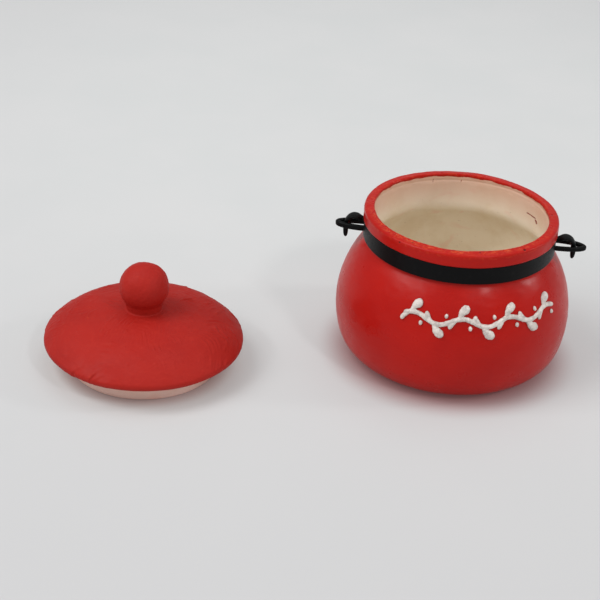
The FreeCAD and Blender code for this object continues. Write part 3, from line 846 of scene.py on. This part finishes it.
# the hook's strap, from the band over the crown and down through the loop:
# distance out, height, half width, half thickness
HOOK_STATIONS = (
    (40.9, 59.65, 2.7, 0.42),
    (41.9, 59.6, 2.7, 0.45),
    (42.9, 60.0, 2.7, 0.55),
    (44.2, 60.85, 2.7, 0.65),
    (45.8, 61.1, 2.7, 0.7),
    (47.4, 60.5, 2.5, 0.85),
    (48.5, 59.1, 2.2, 1.0),
    (49.0, 57.4, 1.6, 1.15),
    (49.1, 55.6, 1.5, 1.15),
    (49.1, 53.8, 1.5, 1.1),
    (49.05, 52.3, 1.4, 1.0),
    (49.0, 51.3, 1.1, 0.8),
    (49.0, 50.7, 0.6, 0.45),
)


def band_wall(work, corners, facing):
    """A strip with the given (bearing, height) outline, rounded at its edges and bent round."""
    middle = (BAND_INNER + BAND_OUTER) / 2
    half = (BAND_OUTER - BAND_INNER) / 2
    flat = [(math.radians(bearing) * middle, height) for bearing, height in corners]
    inner = [work.verts.new((u, height, -half)) for u, height in flat]
    outer = [work.verts.new((u, height, half)) for u, height in flat]
    work.faces.new(inner[::-1])
    work.faces.new(outer)
    count = len(flat)
    for i in range(count):
        k = (i + 1) % count
        work.faces.new((inner[i], inner[k], outer[k], outer[i]))
    bmesh.ops.bevel(work, geom=work.edges[:], offset=BAND_ROUND, segments=3, profile=0.5,
                    affect="EDGES", clamp_overlap=True)
    reach = max(bearing for bearing, _ in corners)
    for bearing in np.arange(-reach + BEND_STEP, reach, BEND_STEP):
        cut = Vector((math.radians(bearing) * middle, 0, 0))
        bmesh.ops.bisect_plane(work, geom=work.verts[:] + work.edges[:] + work.faces[:],
                               plane_co=cut, plane_no=(1, 0, 0))
    for vertex in work.verts:
        u, height, depth = vertex.co
        turn = u / middle + math.radians(facing)
        radius = middle + depth
        vertex.co = (radius * math.sin(turn), -radius * math.cos(turn), height)


def loop_stations(side):
    """The flat loop, drawn out to a rounded nose, on the right (side 1) or left (side -1)."""
    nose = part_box("band_front")[1].x / MM - LOOP_HALF_RAIL - NOSE_SPARE
    if side < 0:
        nose -= LEFT_LOOP_SHORT
    thickness = LOOP_HALF_THICKNESS if side > 0 else LOOP_HALF_THICKNESS + LEFT_LOOP_THICKER
    up = Vector((0, 0, 1))
    spots = []
    for turn in np.radians(np.linspace(-90, 90, 49)):
        out = (nose - LOOP_ROOT) * abs(math.cos(turn)) ** 0.85
        half = LOOP_HALF_WIDTH + (RIGHT_LOOP_SPREAD if side > 0 and turn > 0 else 0.0)
        aside = half * math.copysign(abs(math.sin(turn)) ** 1.1, math.sin(turn))
        spots.append(Vector((side * (LOOP_ROOT + out), aside, LOOP_MIDDLE)))
    return [
        (spot, ahead.cross(up).normalized(), up, LOOP_HALF_RAIL, thickness, thickness)
        for spot, ahead in zip(spots, headings(spots))
    ]


def hook_stations(side):
    """The strap of a hook, as stations on a smooth line through HOOK_STATIONS."""
    given = np.array(HOOK_STATIONS)
    known = np.arange(len(given))
    wanted = np.linspace(0, len(given) - 1, 4 * (len(given) - 1) + 1)
    lines = np.array([np.interp(wanted, known, column) for column in given.T])
    for _ in range(3):
        lines[:, 1:-1] = (lines[:, :-2] + 2 * lines[:, 1:-1] + lines[:, 2:]) / 4
    out, height, half, thickness = lines
    if side > 0:
        height += RIGHT_HOOK_SHORT * smooth_step(LOOP_MIDDLE - height, 0.0, 6.0)
    across = Vector((0, 1, 0))
    spots = [Vector((side * x, 0, z)) for x, z in zip(out, height)]
    return [
        (spot, across, ahead.cross(across).normalized(), wide, thick, thick)
        for spot, ahead, wide, thick in zip(spots, headings(spots), half, thickness)
    ]


def make_band(node, name, facing, corners, ears, material):
    """A moulded half band: its bent strip with an ear of the given kind joined on at each end."""
    work = bmesh.new()
    band_wall(work, corners, facing)
    rough = raw_object(name + "_strip", work)
    spare = []
    for side in (-1, 1):
        work = bmesh.new()
        sweep(work, ears(side), 20, 2.9)
        ear = raw_object(name + "_ear", work)
        join = rough.modifiers.new("join", "BOOLEAN")
        join.operation = "UNION"
        join.solver = "EXACT"
        join.object = ear
        spare.append(ear)
    joined = settled_mesh(rough, spare)
    joined.polygons.foreach_set("use_smooth", [True] * len(joined.polygons))
    joined.set_sharp_from_angle(angle=math.radians(SHARP_ABOVE))
    rough = placed(name + "_joined", joined)
    even = rough.modifiers.new("even", "WEIGHTED_NORMAL")
    even.keep_sharp = True
    mesh = settled_mesh(rough)
    bpy.data.meshes.remove(joined)
    mesh.name = name
    mesh.materials.clear()
    mesh.materials.append(material)
    piece = placed(name, mesh)
    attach(piece, BODY)
    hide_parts(node)


def make_bands():
    """Two half bands whose ends lap: the front one's low, the back one's high."""
    material = band_material()
    low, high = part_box("band_front")
    bottom, top = low.z / MM, high.z / MM
    gap = math.degrees(JOINT_CLEARANCE / BAND_OUTER)
    wall = 90 - BAND_LAP
    lapped = 90 + BAND_LAP - gap
    step = LOW_LAP_TOP
    front = ((-lapped, bottom), (lapped, bottom), (lapped, step), (wall, step),
             (wall, top), (-wall, top), (-wall, step), (-lapped, step))
    step = LOW_LAP_TOP + JOINT_CLEARANCE
    back = ((-wall, bottom), (wall, bottom), (wall, step), (lapped, step),
            (lapped, top), (-lapped, top), (-lapped, step), (-wall, step))
    make_band("band_front", "neck_band_front", 0, front, loop_stations, material)
    make_band("band_back", "neck_band_back", 180, back, hook_stations, material)


# ---------------- materials

class Nodes:
    """Short calls that build one material's node tree."""

    def __init__(self, name):
        self.material = bpy.data.materials.new(name)
        self.material.use_nodes = True
        self.tree = self.material.node_tree
        self.tree.nodes.clear()
        self.shader = self.add("ShaderNodeBsdfPrincipled")
        self.add("ShaderNodeOutputMaterial", {"Surface": self.shader.outputs["BSDF"]})
        self.place = self.add("ShaderNodeTexCoord").outputs["Object"]

    def put(self, socket, value):
        """A number or colour is set on the socket, and another node's output is linked to it."""
        if isinstance(value, bpy.types.NodeSocket):
            self.tree.links.new(value, socket)
        else:
            socket.default_value = value

    def add(self, kind, inputs=None):
        node = self.tree.nodes.new(kind)
        for socket, value in (inputs or {}).items():
            self.put(node.inputs[socket], value)
        return node

    def shade(self, **inputs):
        """Settings of the shader, by the names of its sockets with _ for a space."""
        for socket, value in inputs.items():
            self.put(self.shader.inputs[socket.replace("_", " ")], value)

    def mark(self, name):
        node = self.add("ShaderNodeAttribute")
        node.attribute_name = name
        return node.outputs["Fac"]

    def noise(self, wavelength, detail=2.0, roughness=0.5, stretch=(1, 1, 1), warp=0.0):
        """Noise from 0 to 1 whose features are about wavelength millimetres across."""
        mapping = self.add("ShaderNodeMapping", {"Scale": stretch, "Vector": self.place})
        node = self.add("ShaderNodeTexNoise", {
            "Vector": mapping.outputs["Vector"],
            "Scale": 1 / (wavelength * MM),
            "Detail": detail,
            "Roughness": roughness,
            "Distortion": warp,
        })
        return node.outputs["Fac"]

    def maths(self, operation, *values):
        node = self.add("ShaderNodeMath", dict(enumerate(values)))
        node.operation = operation
        return node.outputs["Value"]

    def step(self, value, low, high, to_low=0.0, to_high=1.0):
        """value between low and high, as a smooth share or as a number between two others."""
        node = self.add("ShaderNodeMapRange", {
            "Value": value, "From Min": low, "From Max": high, "To Min": to_low, "To Max": to_high,
        })
        node.interpolation_type = "SMOOTHSTEP"
        return node.outputs["Result"]

    def ragged(self, mark, noise, swing, middle):
        """A mark whose edge wanders: noise times a swing, plus a middle, is added to it."""
        return self.maths("ADD", self.mark(mark), self.maths("MULTIPLY_ADD", noise, swing, middle))

    def mix(self, share, first, second):
        node = self.add("ShaderNodeMix", {0: share, 6: first, 7: second})
        node.data_type = "RGBA"
        return node.outputs[2]

    def tint(self, colour, share, most, other):
        """The colour, turned towards another one by a share of the most it may turn."""
        return self.mix(self.maths("MULTIPLY", share, most), colour, other)

    def bump(self, height, depth, below=None):
        """Relief of the given depth in millimetres, on top of another relief."""
        node = self.add("ShaderNodeBump", {"Distance": depth * MM, "Height": height})
        if below is not None:
            self.put(node.inputs["Normal"], below)
        return node.outputs["Normal"]


def red_paint(nodes, bright, deep, warm):
    """Brushed red with deeper and warmer drifts in it."""
    drift = nodes.step(nodes.noise(26, 3), 0.35, 0.7)
    streaks = nodes.step(nodes.noise(3.2, 4, 0.6, (1, 1, 4.5), 0.4), 0.45, 0.75)
    return nodes.tint(nodes.tint(bright, drift, 0.55, deep), streaks, 0.22, warm)


def clay(nodes, pale, tan, pink):
    """Cream bisque with tan clouds, a pink bloom from the paint, and fine dark grog."""
    clouds = nodes.step(nodes.noise(17, 4, 0.6), 0.38, 0.7)
    bloom = nodes.step(nodes.noise(11, 3, 0.5, (1, 1, 1.6), 0.6), 0.56, 0.75)
    colour = nodes.tint(nodes.tint(pale, clouds, 0.7, tan), bloom, 0.4, pink)
    specks = nodes.step(nodes.noise(0.9, 1.0), 0.74, 0.79)
    return nodes.tint(colour, specks, 0.35, GROG)


# bisque: pale, tan and pink; paint: bright, deep and warm
POT_CREAM = (srgb(238, 228, 208), srgb(224, 208, 180), srgb(232, 192, 172))
POT_RED = (srgb(179, 22, 14), srgb(163, 14, 10), srgb(192, 34, 19))
# the lid's bisque is pinker than the pot's: partly its clay, partly painted red bounce
LID_CREAM_AND_BOUNCE = (srgb(238, 204, 192), srgb(226, 188, 172), srgb(232, 176, 158))
LID_RED = (srgb(168, 29, 20), srgb(153, 22, 16), srgb(184, 44, 28))
GROG = srgb(128, 98, 76)
SMEARED_PAINT = srgb(214, 132, 104)
WASH_AND_SHADE = srgb(214, 162, 138)
WEAR_AND_SHEEN_ORANGE = srgb(220, 92, 48)
WEAR_AND_SHEEN_PALE = srgb(226, 150, 104)
PIT_DARK = srgb(66, 22, 18)
SCRATCH = srgb(132, 38, 24)
PAINT_FILM = 0.12


def painted_clay(name, paint, bisque, paint_roughness, gloss, grain):
    """Red paint over bisque, with the bare clay, pits, scratches, and wear and painted highlight
    marked on the mesh.
    """
    nodes = Nodes(name)
    red = red_paint(nodes, *paint)
    cream = clay(nodes, *bisque)

    # bare is the distance in millimetres past the paint's edge; near it the clay is smeared
    bare = nodes.ragged("bare", nodes.noise(5.5, 3, 0.6), 1.9, -0.95)
    bare_share = nodes.step(bare, -0.06, 0.1)
    cream = nodes.tint(cream, nodes.step(bare, 0.1, 1.5, 1.0, 0.0), 0.42, SMEARED_PAINT)
    # further past the edge, down the throat, under the lid and under the foot, the clay is painted
    # pinker and darker: partly a wash of paint, partly painted shade
    cream = nodes.tint(cream, nodes.step(bare, 0.5, 18.0, 1.0, 0.0), 0.7, WASH_AND_SHADE)

    # orange flecks and pale specks where the mesh is marked: wear of the paint on the rim, and
    # painted highlight on the rim's edges and the lid's ridge crests
    wear_and_sheen = nodes.step(nodes.noise(1.7, 4, 0.65, (1, 1, 1), 0.8), 0.47, 0.66)
    red = nodes.tint(red, nodes.mark("wear_and_sheen"), wear_and_sheen, WEAR_AND_SHEEN_ORANGE)
    pale_specks = nodes.step(nodes.noise(0.9, 3, 0.6), 0.62, 0.72)
    red = nodes.tint(red, nodes.mark("wear_and_sheen"), pale_specks, WEAR_AND_SHEEN_PALE)

    colour = nodes.mix(bare_share, red, cream)
    # pits and chips are painted dark
    pit = nodes.ragged("pits", nodes.noise(0.5, 2), 0.8, -0.4)
    colour = nodes.mix(nodes.step(pit, 0.0, 0.3), colour, PIT_DARK)
    scratch = nodes.ragged("scratches", nodes.noise(0.7, 3), 1.0, -0.4)
    colour = nodes.mix(nodes.step(scratch, 0.0, 0.5), colour, SCRATCH)

    glossier, duller = paint_roughness - 0.05, paint_roughness + 0.07
    on_paint = nodes.step(nodes.noise(8, 4, 0.6), 0.3, 0.7, glossier, duller)
    on_clay = nodes.step(nodes.noise(4, 3), 0.3, 0.7, 0.55, 0.75)
    rough = nodes.add("ShaderNodeMix", {0: bare_share, 2: on_paint, 3: on_clay})
    relief = nodes.bump(nodes.noise(1.3, 2, 0.5), grain)
    film = nodes.step(bare, -0.25, 0.15, 1.0, 0.0)
    relief = nodes.bump(film, PAINT_FILM, relief)
    nodes.shade(Base_Color=colour, Roughness=rough.outputs[0], Normal=relief,
                Specular_IOR_Level=gloss)
    return nodes.material


def pot_material():
    return painted_clay("pot_satin_paint", POT_RED, POT_CREAM, 0.31, 0.16, 0.02)


def lid_material():
    return painted_clay("lid_matt_paint", LID_RED, LID_CREAM_AND_BOUNCE, 0.6, 0.2, 0.05)


def slip_material():
    """White slip, a little grey and scratched; at the foot of each ridge it is painted dark red,
    partly the red under a film of slip and partly painted shade in the crease.
    """
    nodes = Nodes("white_slip")
    white = nodes.mix(nodes.step(nodes.noise(2.4, 4, 0.65), 0.35, 0.7),
                      srgb(224, 216, 208), srgb(188, 178, 172))
    scraped = nodes.step(nodes.noise(0.8, 4, 0.7, (1, 1, 1), 1.5), 0.6, 0.68)
    white = nodes.tint(white, scraped, 0.65, srgb(132, 108, 104))
    thin_and_crease_shade = nodes.ragged("lift", nodes.noise(1.1, 3), 0.5, -0.25)
    # dark red at the foot of each ridge: partly red showing through, partly painted shade in the
    # crease
    nodes.shade(
        Base_Color=nodes.mix(nodes.step(thin_and_crease_shade, 0.02, 0.2), srgb(112, 26, 22), white),
        Roughness=nodes.step(nodes.noise(3, 3), 0.3, 0.7, 0.42, 0.6),
        Normal=nodes.bump(nodes.noise(0.6, 3, 0.6), 0.05),
    )
    return nodes.material


def band_material():
    """Black moulded plastic with a soft gloss, faintly scuffed and dusty."""
    nodes = Nodes("black_moulded_plastic")
    dust = nodes.step(nodes.noise(2.2, 5, 0.7), 0.52, 0.8)
    scuffs = nodes.noise(1.4, 4, 0.65, (1, 1, 3.0), 0.5)
    nodes.shade(
        Base_Color=nodes.tint(srgb(9, 9, 10), dust, 0.5, srgb(30, 29, 29)),
        Roughness=nodes.step(scuffs, 0.3, 0.75, 0.34, 0.55),
        Normal=nodes.bump(nodes.noise(0.45, 2), 0.02),
        Specular_IOR_Level=0.1,
    )
    return nodes.material


# ---------------- floor, light and camera

FLOOR_SIDE = 6.0
FLOOR_DROP = 0.03
PAPER = (srgb(183, 185, 185), srgb(186, 187, 187))
# painted light falloff: the paper is painted a little darker away from this spot, between these
# distances from it
LIT_SPOT = (-0.03, 0.25, 0.0)
LIT_REACH = (0.12, 0.5)
FAR_PAPER_SHADE = srgb(173, 173, 174)
# painted contact shade and red bounce on the paper near each piece: radii it fades between, and its
# greatest share
POT_PAINTED_BOUNCE = (38.0, 60.0, 0.8)
LID_PAINTED_BOUNCE = (32.0, 40.5, 0.55)
# the paper glows a little: painted light that lifts its shadows
PAPER_PAINTED_GLOW = 0.165
LOOK_AT = Vector((-0.045, -0.01, 0.03))


def from_spot(nodes, spot, near, far, at_near, at_far):
    """A number that goes smoothly from one value near a spot to another far from it, in metres."""
    node = nodes.add("ShaderNodeVectorMath", {0: nodes.place, 1: spot})
    node.operation = "DISTANCE"
    return nodes.step(node.outputs["Value"], near, far, at_near, at_far)


def painted_bounce(nodes, spot, inner, outer, share):
    """Share of painted contact shade and red bounce round a piece standing on the paper: most at its
    foot, then fading.
    """
    return from_spot(nodes, spot, inner * MM, outer * MM, share, 0.0)


def make_floor():
    half = FLOOR_SIDE / 2 / MM
    corners = ((-half, -half), (half, -half), (half, half), (-half, half))
    points = [(x, y, -FLOOR_DROP) for x, y in corners]
    floor = make_object("floor", points, [(0, 1, 2, 3)], {})
    low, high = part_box("lid")
    lid_spot = ((low.x + high.x) / 2, (low.y + high.y) / 2, 0.0)
    nodes = Nodes("pale_paper")
    colour = nodes.mix(nodes.step(nodes.noise(60, 3), 0.3, 0.7), *PAPER)
    # painted falloff of light towards the far paper
    colour = nodes.mix(from_spot(nodes, LIT_SPOT, *LIT_REACH, 0.0, 1.0), colour, FAR_PAPER_SHADE)
    pot_bounce = painted_bounce(nodes, (0.0, 0.0, 0.0), *POT_PAINTED_BOUNCE)
    lid_bounce = painted_bounce(nodes, lid_spot, *LID_PAINTED_BOUNCE)
    # round each foot the paper is painted darker red and gives off red light: painted contact shade
    # and red bounce
    colour = nodes.mix(pot_bounce, colour, srgb(132, 44, 44))
    colour = nodes.mix(lid_bounce, colour, srgb(116, 62, 52))
    glow_and_bounce = nodes.mix(pot_bounce, srgb(255, 255, 255), srgb(150, 60, 60))
    glow_and_bounce = nodes.mix(lid_bounce, glow_and_bounce, srgb(150, 90, 78))
    nodes.shade(Base_Color=colour, Emission_Color=glow_and_bounce, Emission_Strength=PAPER_PAINTED_GLOW,
                Roughness=0.6, Specular_IOR_Level=0.25)
    floor.data.materials.append(nodes.material)


def soft_box(name, bearing, elevation, distance, width, height, level):
    """A lamp that faces the object. level is the brightness it gives a white card held to it."""
    turn = math.radians(bearing)
    rise = math.radians(elevation)
    facing = Vector((math.sin(turn) * math.cos(rise), -math.cos(turn) * math.cos(rise),
                     math.sin(rise)))
    lamp = bpy.data.lights.new(name, "AREA")
    lamp.shape = "RECTANGLE"
    lamp.size = width
    lamp.size_y = height
    lamp.energy = level * (math.pi * distance) ** 2
    holder = placed(name, lamp)
    holder.location = LOOK_AT + facing * distance
    holder.rotation_euler = facing.to_track_quat("Z", "Y").to_euler()


WORLD_LEVEL = 0.43
# name, bearing, elevation, distance, width, height, level
SOFT_BOXES = (
    ("key_box", -70, 57, 2.0, 0.9, 0.9, 0.32),
    ("top_box", 150, 78, 2.0, 1.4, 1.4, 0.19),
    ("front_box", 5, 32, 2.4, 2.4, 1.2, 0.04),
    ("left_strip", -60, 39, 2.2, 1.5, 0.22, 0.24),
    ("right_spot", 44, 44, 2.2, 0.22, 0.22, 0.15),
    ("side_spot", 98, 26, 2.2, 0.26, 0.26, 0.16),
)


def make_light():
    world = bpy.data.worlds.new("studio")
    world.use_nodes = True
    background = world.node_tree.nodes["Background"]
    background.inputs["Color"].default_value = (1.0, 1.0, 1.0, 1.0)
    background.inputs["Strength"].default_value = WORLD_LEVEL
    bpy.context.scene.world = world
    for box in SOFT_BOXES:
        soft_box(*box)


# the camera's place in metres, its angles in degrees and its focal length in millimetres
CAMERA_AT = (-0.00435, -0.5986, 0.3543)
CAMERA_DOWN = 29.33
CAMERA_LEFT = 6.0
CAMERA_ROLL = 3.31
CAMERA_LENS = 92.38


def make_camera():
    lens = bpy.data.cameras.new("camera")
    lens.lens = CAMERA_LENS
    lens.sensor_width = 36.0
    lens.clip_start = 0.01
    lens.clip_end = 20.0
    camera = placed("camera", lens)
    camera.matrix_world = (
        Matrix.Translation(CAMERA_AT)
        @ Matrix.Rotation(math.radians(CAMERA_LEFT), 4, "Z")
        @ Matrix.Rotation(math.radians(90 - CAMERA_DOWN), 4, "X")
        @ Matrix.Rotation(math.radians(CAMERA_ROLL), 4, "Z")
    )
    bpy.context.scene.camera = camera


# ---------------- scene

make_camera()
make_light()
make_floor()
make_pot()
make_lid()
make_ornament()
make_bands()
bpy.context.scene.view_settings.view_transform = "Standard"
